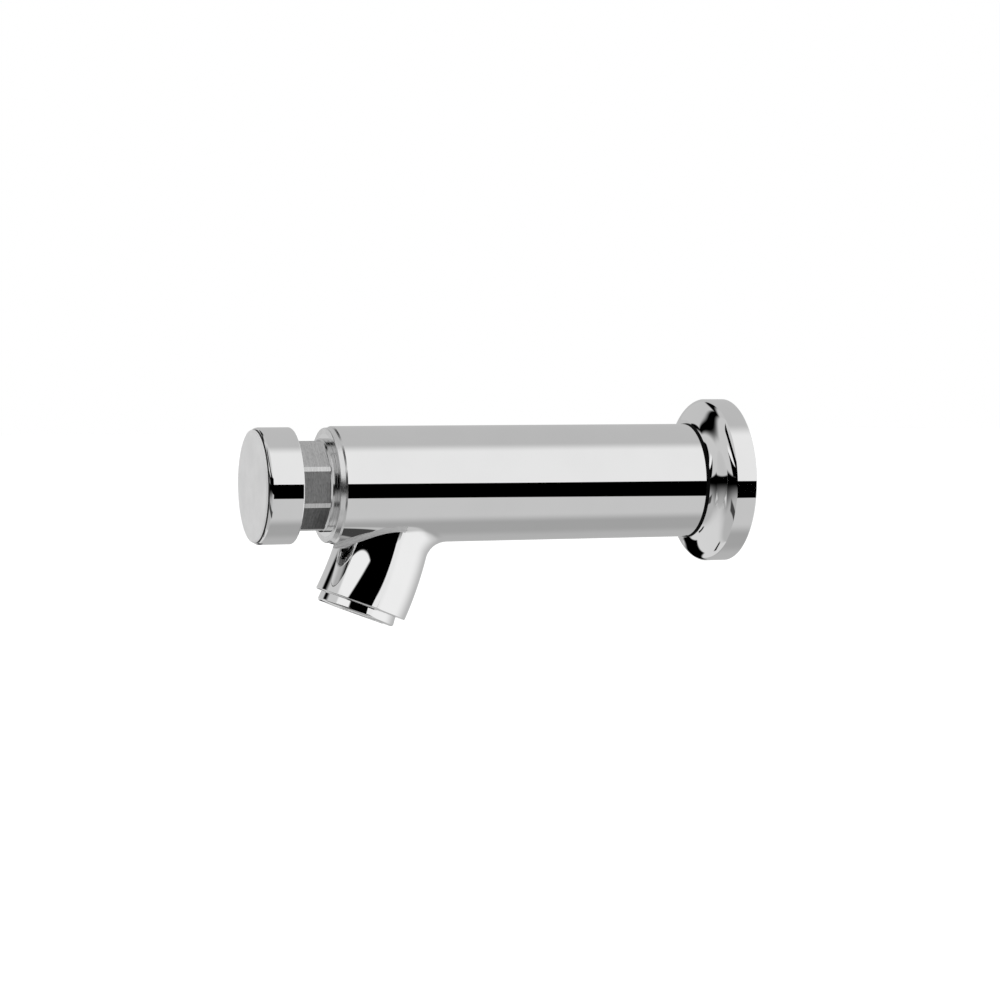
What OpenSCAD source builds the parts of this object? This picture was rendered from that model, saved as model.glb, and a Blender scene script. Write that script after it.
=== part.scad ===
// Wall-mounted push timed tap.
// The tap axis runs from the wall (t = 0) to the button; every place along it is
// a distance t from the wall plane, in millimetres. The object stands in its own
// frame with +Z up and the tap axis along -Y.

/* [Body tube] */
// Outside diameter of the body tube
tube_d = 35; // [32:0.5:40]
// Length of the body tube from the wall plane to its front face
tube_len = 129.5; // [120:0.5:180]
// Length of the slight bevel at the tube's front edge
front_bevel_len = 2; // [0.5:0.1:2.4]
// Depth of that bevel at the front face
front_bevel_w = 0.5; // [0.2:0.05:1]

/* [Spout] */
// Distance from the front face back to where the spout axis meets the tube axis
spout_setback = 24.7; // [24.2:0.1:30]
// Lean of the spout towards the button, in degrees
spout_tilt = 21; // [14:1:22]
// Distance along the spout axis from the tube axis to the outlet lip
spout_len = 38.2; // [36:0.2:60]
// Outside diameter of the outlet lip
lip_d = 28.1; // [27:0.1:30]
// Half angle by which the spout's front and back walls widen towards the lip, in degrees
spout_draft = 0.5; // [0:0.1:3]
// Half angle by which the spout's side walls widen towards the lip, in degrees
spout_side_draft = 4; // [1:0.1:5]
// How far the middle of the spout bows towards the wall
spout_bow = 0.5; // [0:0.05:1]
// Reach of the blend between spout and tube on the button side
blend_front = 1.2; // [0.8:0.1:2]
// Reach of the blend between spout and tube on the wall side
blend_rear = 5.5; // [3:0.1:8]
// Diameter of the water passage down the spout
passage_d = 16; // [12:0.5:17]

/* [Aerator] */
// Diameter of the threaded bore for the aerator
aerator_bore_d = 22; // [21:0.1:23]
// Depth of the aerator bore above the lip
aerator_depth = 9; // [8:0.1:12]
// Outside diameter of the ring below the lip
aerator_ring_d = 23; // [22.6:0.1:25]
// Height of the ring below the lip
aerator_drop = 2.6; // [1.6:0.1:4]
// Wall of the threaded sleeve
aerator_wall = 1.3; // [1:0.1:1.6]
// Thickness of the sealing washer
aerator_washer_t = 1.5; // [1:0.1:2.5]
// Thickness of the outlet screen
screen_t = 0.8; // [0.5:0.1:1.2]

/* [Wall flange] */
// Outside diameter of the flange rim
flange_d = 50.3; // [46:0.1:60]
// Height of the straight rim
flange_rim_h = 6.57; // [4:0.1:8]
// Height of the flange where it meets the tube
flange_h = 12.3; // [11:0.1:16]
// Wall of the flange rim
flange_wall = 1.2; // [0.8:0.1:2]
// Length of the sleeve that rides on the tube
flange_sleeve = 3.8; // [3:0.1:5]
// Section diameter of the rubber ring that grips the tube
grip_ring_d = 2.4; // [1.6:0.1:2.6]
// How steeply the flange's face leaves the rim
flange_rim_pull = 3.5; // [2:0.1:4]
// How steeply the flange's face rises to the tube
flange_top_pull = 2.8; // [1.5:0.1:3.5]

/* [Inlet] */
// Wall diameter of the inlet thread (half inch pipe thread, minor diameter)
inlet_d = 18.63; // [18:0.01:20]
// Length of the inlet thread
inlet_len = 15; // [12:0.5:18]
// Thickness of the inlet washer
inlet_washer_t = 2.5; // [1.5:0.1:3]
// Thickness of the inlet strainer
strainer_t = 1.2; // [0.8:0.1:2]
// Gap between the thread's end and the washer
washer_setback = 0.8; // [0.3:0.1:2]
// Diameter of the flow regulator's bore
regulator_d = 15; // [13:0.1:16]
// Length of the flow regulator
regulator_len = 8; // [6:0.1:12]
// Wall of the flow regulator's cup
regulator_wall = 1.5; // [1:0.1:2]
// Depth of that cup
regulator_cup = 3; // [2.4:0.1:4]
// Diameter of the flow regulator's throat
throat_d = 5; // [3:0.1:6]
// Section diameter of the regulator's rubber ring
regulator_ring_d = 2; // [1.4:0.1:2.2]

/* [Water chambers] */
// Diameter of the supply chamber in the tube
chamber_d = 27; // [24:0.1:28]
// Diameter of the passage behind the valve seat
valve_well_d = 21; // [19:0.1:22]
// Length of that passage
valve_well_len = 6; // [4:0.1:10]
// Diameter of the bore that holds the valve cage
cartridge_d = 23.6; // [23:0.1:24.4]

/* [Valve cage] */
// Length of the valve cage
cage_len = 24.5; // [22:0.1:28]
// Length of the cage's wide rear part
cage_foot_len = 10; // [8:0.1:12]
// Outside diameter of the cage's slim front part
cage_slim_d = 21.2; // [20.6:0.1:21.6]
// Inside diameter of the cage
cage_inner_d = 16.8; // [16.4:0.1:17]
// Diameter of the water hole in the valve seat
seat_hole_d = 11; // [10:0.1:12]
// Thickness of the valve seat wall
seat_wall = 4; // [3:0.1:6]
// Height of the raised lip round the water hole
seat_lip_h = 0.8; // [0.5:0.1:1.2]
// Width of the raised lip
seat_lip_w = 1; // [0.6:0.1:1.2]
// Width of each cage window
window_w = 7; // [4:0.1:8]
// Length of the closed ring at the cage's front end
cage_ring_len = 3.5; // [2.5:0.1:5]
// Number of cage windows
window_count = 4; // [3:1:5]
// Section diameter of the cage seal
cage_seal_d = 1; // [0.8:0.1:1.4]

/* [Valve] */
// Thickness of the valve washer
valve_washer_t = 2.5; // [2:0.1:3]
// Diameter of the valve washer
valve_washer_d = 15.6; // [14.6:0.1:16]
// Wall of the cup round the valve washer
valve_cup_wall = 0.95; // [0.6:0.05:1.2]
// Thickness of the valve head behind the washer
valve_head_t = 3.5; // [2.5:0.1:4]
// Width of the valve nut across its flats
valve_nut_af = 8; // [7.5:0.1:10]
// How far the valve washer stands out of its cup
washer_proud = 1.1; // [0.6:0.1:1.6]
// Thickness of the valve nut
valve_nut_t = 4; // [3:0.1:5]

/* [Stem] */
// Diameter of the stem through the valve seat
stem_rear_d = 5; // [4:0.1:6]
// Diameter of the stem inside the spring
stem_mid_d = 8.4; // [7.8:0.1:8.6]
// Diameter of the stem in its guide
stem_d = 7; // [6.4:0.1:7.4]
// Length of thread that stands past the valve nut
stem_tail = 1.5; // [1:0.1:3]
// Section diameter of the stem seals
stem_seal_d = 1.5; // [1.2:0.1:1.8]
// Distance of the front stem seal from the bonnet's front end
stem_seal_inset = 3.5; // [2:0.1:4]
// Distance between the two stem seals
stem_seal_pitch = 7.4; // [5:0.1:8]

/* [Timing piston and spring] */
// Diameter of the timing chamber in the bonnet
timing_d = 19; // [18.4:0.1:19.4]
// Length of the timing chamber
timing_len = 22.5; // [20:0.1:26]
// Thickness of the chamber's roof inside the tube's front face
timing_roof = 2.5; // [2:0.1:4]
// Length of the piston
piston_len = 7; // [6:0.1:8]
// Gap between the piston and the chamber's roof at rest
piston_gap = 3; // [2:0.1:4]
// Width of the lip seal
lip_seal_w = 3; // [2:0.1:3.5]
// Depth of the lip seal
lip_seal_depth = 2; // [1.6:0.1:2.4]
// Length of the piston's shoulder on the thick part of the stem
piston_shoulder = 2; // [1.5:0.1:3]
// Length of the piston behind its lip seal
piston_skirt = 1.5; // [1:0.1:2]
// Thickness of the circlip
circlip_t = 1; // [0.8:0.1:1.2]
// Depth of the circlip's groove in the stem
circlip_depth = 0.6; // [0.4:0.05:0.8]
// How far the circlip stands out of the stem
circlip_stand = 0.8; // [0.5:0.05:1]
// Diameter of the bleed pin
bleed_pin_d = 0.7; // [0.5:0.05:0.8]
// Mean diameter of the return spring
spring_mean_d = 13.6; // [13.4:0.1:14]
// Diameter of the spring wire
spring_wire_d = 1.6; // [1.2:0.1:1.7]
// Number of turns of the return spring
spring_turns = 9; // [6:1:10]
// Thickness of the spring's seat washer
spring_seat_t = 1; // [0.8:0.1:1.5]

/* [Bonnet] */
// Diameter of the bonnet's thread
bonnet_thread_d = 24.8; // [24.6:0.1:25.2]
// Length of the bonnet's thread
bonnet_thread_len = 10; // [8:0.1:11]
// Outside diameter of the bonnet's tail round the timing chamber
bonnet_tail_d = 21.6; // [21.2:0.1:22]
// Turned diameter of the collar and of the neck's corners
neck_d = 27.8; // [27.2:0.1:28.4]
// Width of the eight-sided neck across its flats
neck_af = 26.2; // [25.4:0.1:26.8]
// Height of the round collar on the tube's face
collar_h = 1.8; // [1.2:0.1:3]
// Length of the eight-sided neck
neck_len = 9.3; // [8.6:0.1:12]
// Section diameter of the bonnet seal
bonnet_seal_d = 1.1; // [0.9:0.1:1.3]

/* [Button] */
// Travel of the button
stroke = 7; // [4:0.5:8]
// Gap left between button and bonnet at full travel
stop_gap = 0.4; // [0.3:0.1:1]
// Outside diameter of the button
button_d = 34.5; // [33:0.1:38]
// Length of the button from its skirt's edge to its face
button_len = 11.45; // [9:0.05:12]
// Wall of the button's skirt
button_wall = 2.24; // [1.6:0.02:2.4]
// Thickness of the button's floor
button_plate = 2.4; // [2.2:0.1:3]
// Width of the bevel round the button's face
bevel_w = 0.94; // [0.4:0.02:1.2]
// Length of that bevel along the tap axis
bevel_h = 2.1; // [1:0.1:2.4]
// Thickness of the face disc
cover_t = 1.2; // [0.8:0.1:1.4]
// Width of the bright rim round the face disc
cover_rim = 0.45; // [0.3:0.05:1]
// Diameter of the button screw
screw_d = 3.8; // [3:0.1:4]
// How far the screw's head stands out from its shank
screw_head_stand = 1.5; // [1:0.1:2]
// Height of the screw's head
screw_head_h = 1.5; // [1:0.1:1.6]
// Length of the screw in the stem
screw_len = 10; // [8:0.5:12]

/* [Clearances] */
// Radial clearance of a moving round fit
running_fit = 0.05; // [0.02:0.01:0.1]
// Radial clearance of the flange on the tube
flange_fit = 0.1; // [0.05:0.01:0.1]
// Radial clearance of a piece that is pushed or screwed into its bore
seat_fit = 0.1; // [0.05:0.01:0.2]
// Gap between the valve washer and its seat at rest
seat_gap = 0.05; // [0.03:0.01:0.1]

/* [Hidden] */
$fn = 96;
cut = 0.5; // overshoot of a cut past the face it opens
arc_steps = 8; // segments of a rounded edge in an outline

// Radii
tube_r = tube_d / 2;
inlet_r = inlet_d / 2;
pocket_r = inlet_r - 2 * seat_fit;
cartridge_r = cartridge_d / 2;
cage_r = cartridge_r - seat_fit;
timing_r = timing_d / 2;
stem_r = stem_d / 2;
neck_r = neck_d / 2;
button_r = button_d / 2;
aerator_bore_r = aerator_bore_d / 2;
bonnet_bore_r = bonnet_thread_d / 2 + running_fit;

// Places from the wall to the valve
pocket_front = inlet_len + washer_setback + inlet_washer_t + strainer_t;
regulator_front = pocket_front + regulator_len;
chamber_back = regulator_front + cut;

// Places from the front face to the button
face_t = tube_len;
collar_front = face_t + collar_h;
bonnet_front = collar_front + neck_len;
button_floor = bonnet_front + stroke + stop_gap;
cover_back = button_floor + button_plate;
button_front = cover_back + cover_t;
skirt_back = button_front - button_len;

// Places from the front face back to the valve
thread_back = face_t - bonnet_thread_len;
timing_front = face_t - timing_roof;
timing_back = timing_front - timing_len;
piston_front = timing_front - piston_gap;
piston_back = piston_front - piston_len;
piston_step = piston_back + piston_shoulder;
seat_t = timing_back - cage_len;
cage_floor = seat_t + seat_wall;
spring_back = cage_floor + spring_seat_t;
washer_front = seat_t - seat_lip_h - seat_gap;
washer_back = washer_front - valve_washer_t;
head_back = washer_back - valve_head_t;
nut_back = head_back - valve_nut_t;
stem_back = nut_back - stem_tail;
stem_step = cage_floor + stroke + spring_seat_t;
well_back = seat_t - valve_well_len;

// Fits between neighbours
groove_room = 0.4; // end room for a rubber ring in its groove
seal_pocket_h = bonnet_seal_d + groove_room;
seal_pocket_r = bonnet_bore_r + 0.7 * bonnet_seal_d;
undercut_r = seal_pocket_r - bonnet_seal_d - 2 * running_fit;
stem_groove_r = stem_r + stem_seal_d + 2 * running_fit;
stem_groove_w = stem_seal_d + groove_room;
stem_seal_places = [bonnet_front - stem_seal_inset - stem_seal_pitch, bonnet_front - stem_seal_inset];
lip_groove_r = timing_r - lip_seal_depth;
lip_seal_back = piston_back + piston_skirt;
circlip_r = stem_r + circlip_stand;
circlip_groove_r = stem_r - circlip_depth;
bleed_hole_r = bleed_pin_d / 2 + seat_fit;
bleed_head_r = bleed_hole_r + seat_fit;
bleed_place_r = circlip_r + bleed_head_r + 2 * seat_fit;
cage_groove_r = cartridge_r - cage_seal_d - 2 * running_fit;
cage_groove_w = cage_seal_d + groove_room;
cage_groove_t = seat_t + cage_foot_len / 2;
valve_cup_r = valve_washer_d / 2 + running_fit + valve_cup_wall;
skirt_r = button_r - button_wall;
cover_r = button_r - bevel_w - cover_rim;
screw_r = screw_d / 2;
screw_head_r = screw_r + screw_head_stand;
screw_seat = cover_back - screw_head_h - seat_fit;
regulator_cup_r = regulator_d / 2 - regulator_wall;
regulator_ring_r = throat_d / 2 + 2 * seat_fit + regulator_ring_d / 2;

// Spout frame: origin on the tube axis, direction down the spout
spout_t = tube_len - spout_setback;
lip_r = lip_d / 2;
bow_span = spout_len - tube_r;
aerator_top = spout_len - aerator_depth;
sleeve_top = aerator_top + aerator_washer_t;
sleeve_r = aerator_bore_r - seat_fit;
sleeve_inner_r = sleeve_r - aerator_wall;
ring_end = spout_len + aerator_drop;
ring_lip = aerator_wall / 2 + seat_fit; // inner lip that keeps the screen in
screen_back = ring_end - ring_lip - screen_t;

chrome = [0.80, 0.81, 0.83];
satin = [0.62, 0.62, 0.63];
brass = [0.72, 0.58, 0.33];
steel = [0.66, 0.67, 0.69];
rubber = [0.13, 0.13, 0.13];
white_plastic = [0.90, 0.90, 0.87];
grey_plastic = [0.45, 0.47, 0.50];

// Frames

// Local z becomes the distance from the wall, local y points up
module along_tap() {
  rotate([90, 0, 0]) children();
}

// Inside along_tap: local z becomes the distance down the spout axis
module along_spout() {
  translate([0, 0, spout_t]) rotate([90 - spout_tilt, 0, 0]) children();
}

// Round shapes

// Plain disc or tube from z0 to z1
module tube(r_out, r_in, z0, z1) {
  difference() {
    translate([0, 0, z0]) cylinder(r = r_out, h = z1 - z0);
    if (r_in > 0) translate([0, 0, z0 - cut]) cylinder(r = r_in, h = z1 - z0 + 2 * cut);
  }
}

// Hole from z0 to z1
module hole(r, z0, z1) {
  translate([0, 0, z0]) cylinder(r = r, h = z1 - z0);
}

// Rubber ring of round section
module o_ring(r_mid, section_d, z) {
  rotate_extrude() translate([r_mid, z]) circle(d = section_d, $fn = 48);
}

// Points of a quarter circle in an outline, from angle a0 to a1
function arc(cx, cz, r, a0, a1) =
  [for (i = [0 : arc_steps]) let (a = a0 + (a1 - a0) * i / arc_steps) [cx + r * cos(a), cz + r * sin(a)]];

// Point of a cubic curve through four control points
function cubic(p0, p1, p2, p3, s) =
  pow(1 - s, 3) * p0 + 3 * s * pow(1 - s, 2) * p1 + 3 * s * s * (1 - s) * p2 + pow(s, 3) * p3;

// Round holes in rings round a centre hole, inside radius r_field, as on a strainer plate
module hole_rings(ring_count, r_field, z0, z1) {
  pitch = r_field / (ring_count + 0.5);
  hole_r = 0.34 * pitch;
  hole(hole_r, z0, z1);
  for (ring = [1 : ring_count], i = [0 : 6 * ring - 1])
    rotate(i * 60 / ring) translate([ring * pitch, 0, 0]) hole(hole_r, z0, z1);
}

// Spout skin: each column runs from the lip up the wall and out over the tube

skin_columns = 48;
blend_rows = 6;
skin_sink = 0.25; // how far the skin's edge ends below the tube's surface

// Point of the spout's wall at angle a, distance s down its axis
function wall_point(a, s) =
  let (rise = spout_len - s)
  let (side = (lip_r - rise * tan(spout_side_draft)) * cos(a))
  let (bow = 4 * spout_bow * rise / bow_span * (1 - rise / bow_span))
  let (ahead = (lip_r - rise * tan(spout_draft)) * sin(a) - bow)
  [side,
   -s * cos(spout_tilt) + ahead * sin(spout_tilt),
   spout_t + s * sin(spout_tilt) + ahead * cos(spout_tilt)];

// Distance down the axis at which the wall leaves the tube, found by halving
function wall_start(a, low = 0, high = spout_len, halvings = 30) =
  let (mid = (low + high) / 2, p = wall_point(a, mid))
  halvings == 0 ? mid
  : norm([p[0], p[1]]) < tube_r || p[1] > 0 ? wall_start(a, mid, high, halvings - 1)
  : wall_start(a, low, mid, halvings - 1);

function blend_reach(a) = (blend_front + blend_rear + (blend_front - blend_rear) * sin(a)) / 2;

// Foot of the blend: a step over the tube's surface, away from the spout
function blend_foot(a) =
  let (joint = wall_point(a, wall_start(a)))
  let (turn = atan2(joint[0], -joint[1]))
  let (across = tube_r * turn * PI / 180)
  let (ahead = joint[2] - spout_t - tube_r * tan(spout_tilt))
  let (step = blend_reach(a) / norm([across, ahead]))
  let (foot_turn = turn * (1 + step))
  let (foot_r = tube_r - skin_sink)
  [foot_r * sin(foot_turn), -foot_r * cos(foot_turn), joint[2] + ahead * step];

function skin_column(a) =
  let (joint = wall_point(a, wall_start(a)))
  let (low = wall_point(a, wall_start(a) + blend_reach(a)))
  let (foot = blend_foot(a))
  concat(
    [wall_point(a, spout_len)],
    [for (i = [0 : blend_rows]) let (s = i / blend_rows)
      (1 - s) * (1 - s) * low + 2 * s * (1 - s) * joint + s * s * foot]);

module spout_skin() {
  columns = [for (i = [0 : skin_columns - 1]) skin_column(360 * i / skin_columns)];
  rows = len(columns[0]);
  lip_centre = wall_point(90, spout_len) / 2 + wall_point(270, spout_len) / 2;
  inner_centre = [0, 0, spout_t];
  points = concat([for (c = columns, p = c) p], [lip_centre, inner_centre]);
  last = skin_columns * rows;
  side_faces = [for (i = [0 : skin_columns - 1], k = [0 : rows - 2])
    let (j = (i + 1) % skin_columns)
    each [[i * rows + k, j * rows + k, j * rows + k + 1],
          [i * rows + k, j * rows + k + 1, i * rows + k + 1]]];
  end_faces = [for (i = [0 : skin_columns - 1]) let (j = (i + 1) % skin_columns)
    each [[j * rows, i * rows, last], [i * rows + rows - 1, j * rows + rows - 1, last + 1]]];
  polyhedron(points, concat(side_faces, end_faces));
}

// Sub-parts

module body() {
  color(chrome) along_tap() difference() {
    union() {
      rotate_extrude() polygon(concat(
        [[0, 0], [tube_r, 0], [tube_r, face_t - front_bevel_len]],
        arc(tube_r - 2 * front_bevel_w, face_t - front_bevel_w, front_bevel_w, 30, 90),
        [[0, face_t]]));
      spout_skin();
    }
    hole(inlet_r, -cut, inlet_len);
    hole(pocket_r, inlet_len - cut, pocket_front);
    hole(regulator_d / 2, pocket_front - cut, chamber_back + cut);
    hole(chamber_d / 2, chamber_back, well_back);
    hole(valve_well_d / 2, well_back - cut, seat_t + cut);
    hole(cartridge_r, seat_t, thread_back + cut);
    hole(bonnet_bore_r, thread_back, face_t + cut);
    hole(seal_pocket_r, face_t - seal_pocket_h, face_t + cut);
    along_spout() {
      hole(passage_d / 2, cartridge_r / 2, aerator_top + cut);
      hole(aerator_bore_r, aerator_top, spout_len + cut);
    }
  }
}

module wall_flange() {
  edge = flange_fit; // small break at the sleeve's front edge
  rim_r = flange_d / 2;
  bore_r = tube_r + flange_fit;
  face_steps = 14;
  rim = [rim_r, flange_rim_h];
  top = [bore_r + edge, flange_h];
  rim_handle = rim + flange_rim_pull * [-0.34, 1];
  top_handle = top + flange_top_pull * [0.62, -1];
  face_curve = [for (i = [0 : face_steps]) cubic(rim, rim_handle, top_handle, top, i / face_steps)];
  sleeve_back = flange_h - flange_sleeve;
  color(chrome) along_tap() rotate_extrude() polygon(concat(
    [[rim_r, 0]],
    face_curve,
    [[bore_r, flange_h - edge], [bore_r, sleeve_back], [bore_r + grip_ring_d, sleeve_back],
     [rim_r - flange_wall, flange_rim_h - flange_wall], [rim_r - flange_wall, 0]]));
}

module flange_grip_ring() {
  mid_r = tube_r + flange_fit + grip_ring_d / 2;
  color(rubber) along_tap() o_ring(mid_r, grip_ring_d, flange_h - flange_sleeve - grip_ring_d / 2);
}

module inlet_washer() {
  washer_back_t = inlet_len + washer_setback;
  color(rubber) along_tap()
    tube(pocket_r - seat_fit, regulator_d / 2, washer_back_t, washer_back_t + inlet_washer_t);
}

module inlet_strainer() {
  strainer_r = pocket_r - seat_fit;
  strainer_back = pocket_front - strainer_t;
  color(steel) along_tap() difference() {
    tube(strainer_r, 0, strainer_back, pocket_front);
    hole_rings(3, regulator_d / 2 - seat_fit, strainer_back - cut, pocket_front + cut);
  }
}

module flow_regulator() {
  jet_count = 6;
  jet_r = regulator_wall / 2;
  cup_floor = pocket_front + regulator_cup;
  color(white_plastic) along_tap() difference() {
    tube(regulator_d / 2 - seat_fit, 0, pocket_front, regulator_front);
    hole(regulator_cup_r, pocket_front - cut, cup_floor);
    hole(throat_d / 2, cup_floor - cut, regulator_front + cut);
    for (i = [0 : jet_count - 1])
      rotate(360 * i / jet_count) translate([regulator_cup_r - 1.5 * jet_r, 0, 0])
        hole(jet_r, cup_floor - cut, regulator_front + cut);
  }
}

module regulator_ring() {
  color(rubber) along_tap()
    o_ring(regulator_ring_r, regulator_ring_d, pocket_front + regulator_cup - regulator_ring_d / 2);
}

module valve_cage() {
  foot_front = seat_t + cage_foot_len;
  window_back = foot_front + cage_ring_len / 2;
  window_front = timing_back - cage_ring_len;
  color(white_plastic) along_tap() difference() {
    union() {
      tube(cage_r, 0, seat_t, foot_front);
      tube(cage_slim_d / 2, 0, foot_front - cut, timing_back);
      tube(seat_hole_d / 2 + seat_lip_w, 0, seat_t - seat_lip_h, seat_t + cut);
    }
    hole(seat_hole_d / 2, seat_t - seat_lip_h - cut, cage_floor + cut);
    hole(cage_inner_d / 2, cage_floor, timing_back + cut);
    tube(cage_r + cut, cage_groove_r, cage_groove_t - cage_groove_w / 2, cage_groove_t + cage_groove_w / 2);
    for (i = [0 : window_count - 1])
      rotate(360 * i / window_count - 90) translate([0, -window_w / 2, window_back])
        cube([cage_r + cut, window_w, window_front - window_back]);
  }
}

module cage_seal() {
  color(rubber) along_tap()
    o_ring(cartridge_r - running_fit - cage_seal_d / 2, cage_seal_d, cage_groove_t);
}

module spring_seat() {
  color(steel) along_tap()
    tube(cage_inner_d / 2 - seat_fit, seat_hole_d / 2 + seat_fit, cage_floor, spring_back);
}

// Return spring: one tube that winds round the stem

coil_rings = 8;
wire_sides = 6;
wire_r = spring_wire_d / 2;
spring_rise = piston_back - spring_back - spring_wire_d - 2 * seat_gap;
coil_steps = spring_turns * coil_rings;

function coil_centre(i) =
  let (a = 360 * i / coil_rings)
  [spring_mean_d / 2 * cos(a), spring_mean_d / 2 * sin(a),
   spring_back + seat_gap + wire_r + spring_rise * i / coil_steps];

function coil_ring(i) =
  let (a = 360 * i / coil_rings, c = coil_centre(i))
  [for (j = [0 : wire_sides - 1]) let (b = 360 * j / wire_sides)
    c + wire_r * [cos(b) * cos(a), cos(b) * sin(a), sin(b)]];

turn_gap = min([for (i = [0 : coil_steps - coil_rings])
  norm(coil_centre(i + coil_rings) - coil_centre(i)) - spring_wire_d]);
echo(least_gap_between_spring_turns = turn_gap);

module return_spring() {
  points = [for (i = [0 : coil_steps]) each coil_ring(i)];
  side_faces = [for (i = [0 : coil_steps - 1], j = [0 : wire_sides - 1])
    let (k = (j + 1) % wire_sides, low = i * wire_sides, high = low + wire_sides)
    each [[low + j, high + j, high + k], [low + j, high + k, low + k]]];
  start_cap = [for (j = [1 : wire_sides - 2]) [0, j, j + 1]];
  top = coil_steps * wire_sides;
  end_cap = [for (j = [1 : wire_sides - 2]) [top, top + j + 1, top + j]];
  color(steel) along_tap() polyhedron(points, concat(side_faces, start_cap, end_cap));
}

module valve_head() {
  cup_front = washer_front - washer_proud;
  color(brass) along_tap() difference() {
    tube(valve_cup_r, stem_rear_d / 2, head_back, cup_front);
    hole(valve_cup_r - valve_cup_wall, washer_back, cup_front + cut);
  }
}

module valve_washer() {
  color(rubber) along_tap()
    tube(valve_washer_d / 2, stem_rear_d / 2, washer_back, washer_front);
}

module valve_nut() {
  color(brass) along_tap() difference() {
    translate([0, 0, nut_back]) cylinder(d = valve_nut_af / cos(30), h = valve_nut_t, $fn = 6);
    hole(stem_rear_d / 2, nut_back - cut, head_back + cut);
  }
}

module stem() {
  color(brass) along_tap() difference() {
    union() {
      tube(stem_rear_d / 2, 0, stem_back, stem_step + cut);
      tube(stem_mid_d / 2, 0, stem_step, piston_step);
      tube(stem_r, 0, piston_step - cut, button_floor);
    }
    tube(stem_mid_d, circlip_groove_r, piston_front, piston_front + circlip_t);
    hole(screw_r + seat_fit, button_floor - screw_len - cut, button_floor + cut);
  }
}

module timing_piston() {
  color(grey_plastic) along_tap() difference() {
    tube(timing_r - running_fit, 0, piston_back, piston_front);
    hole(stem_mid_d / 2, piston_back - cut, piston_step);
    hole(stem_r, piston_step - cut, piston_front + cut);
    tube(timing_r + cut, lip_groove_r, lip_seal_back, lip_seal_back + lip_seal_w);
    translate([bleed_place_r, 0, 0]) hole(bleed_hole_r, piston_back - cut, piston_front + cut);
  }
}

module piston_lip_seal() {
  lip_out = timing_r - running_fit;
  lip_t = lip_seal_depth / 4;
  rake = lip_seal_depth / 7;
  web_top = lip_seal_back + lip_seal_w / 3;
  top = lip_seal_back + lip_seal_w;
  color(rubber) along_tap() rotate_extrude() polygon([
    [lip_groove_r, lip_seal_back], [lip_out - rake, lip_seal_back], [lip_out, top],
    [lip_out - lip_t, top], [lip_groove_r + lip_seal_depth / 2, web_top],
    [lip_groove_r + lip_t, top], [lip_groove_r, top]]);
}

module piston_circlip() {
  mouth = circlip_groove_r; // width of the opening that slips over the stem
  color(steel) along_tap() difference() {
    tube(circlip_r, circlip_groove_r, piston_front, piston_front + circlip_t);
    translate([-circlip_r - cut, -mouth / 2, piston_front - cut])
      cube([circlip_r + cut, mouth, circlip_t + 2 * cut]);
  }
}

module bleed_pin() {
  head_h = bleed_pin_d;
  color(steel) along_tap() translate([bleed_place_r, 0, 0]) {
    tube(bleed_pin_d / 2, 0, piston_back - seat_fit - cut, piston_front + seat_fit + cut);
    tube(bleed_head_r, 0, piston_back - seat_fit - head_h, piston_back - seat_fit);
    tube(bleed_head_r, 0, piston_front + seat_fit, piston_front + seat_fit + head_h);
  }
}

module bonnet() {
  undercut_back = face_t - seal_pocket_h - groove_room;
  guide_r = stem_r + running_fit;
  color(satin) along_tap() difference() {
    union() {
      tube(bonnet_tail_d / 2, 0, timing_back, thread_back + cut);
      tube(bonnet_thread_d / 2, 0, thread_back, undercut_back);
      tube(undercut_r, 0, undercut_back - cut, face_t + cut);
      tube(neck_r, 0, face_t, collar_front);
      intersection() {
        tube(neck_r, 0, collar_front - cut, bonnet_front);
        translate([0, 0, collar_front - cut]) rotate(22.5)
          cylinder(d = neck_af / cos(22.5), h = neck_len + cut, $fn = 8);
      }
    }
    hole(timing_r, timing_back - cut, timing_front);
    hole(guide_r, timing_front - cut, bonnet_front + cut);
    for (groove = stem_seal_places)
      hole(stem_groove_r, groove - stem_groove_w / 2, groove + stem_groove_w / 2);
  }
}

module bonnet_seal() {
  color(rubber) along_tap()
    o_ring(seal_pocket_r - running_fit - bonnet_seal_d / 2, bonnet_seal_d, face_t - seal_pocket_h / 2);
}

module stem_seals() {
  color(rubber) along_tap() for (groove = stem_seal_places)
    o_ring(stem_r + running_fit + stem_seal_d / 2, stem_seal_d, groove);
}

module button() {
  edge_r = button_wall / 5;
  color(chrome) along_tap() difference() {
    rotate_extrude() polygon(concat(
      [[0, skirt_back]],
      arc(button_r - edge_r, skirt_back + edge_r, edge_r, -90, 0),
      [[button_r, button_front - bevel_h], [button_r - bevel_w, button_front], [0, button_front]]));
    hole(skirt_r, skirt_back - cut, button_floor);
    hole(cover_r, cover_back, button_front + cut);
    hole(screw_head_r + seat_fit, screw_seat, cover_back + cut);
    hole(screw_r + seat_fit, button_floor - cut, screw_seat + cut);
  }
}

module button_cover() {
  color(satin) along_tap() tube(cover_r - seat_fit, 0, cover_back, button_front);
}

module button_screw() {
  slot_w = screw_head_h / 2;
  slot_depth = screw_head_h / 2;
  color(steel) along_tap() difference() {
    union() {
      tube(screw_head_r, 0, screw_seat, screw_seat + screw_head_h);
      tube(screw_r, 0, button_floor - screw_len, screw_seat + cut);
    }
    translate([-screw_head_r - cut, -slot_w / 2, screw_seat + screw_head_h - slot_depth])
      cube([2 * screw_head_r + 2 * cut, slot_w, slot_depth + cut]);
  }
}

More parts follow.
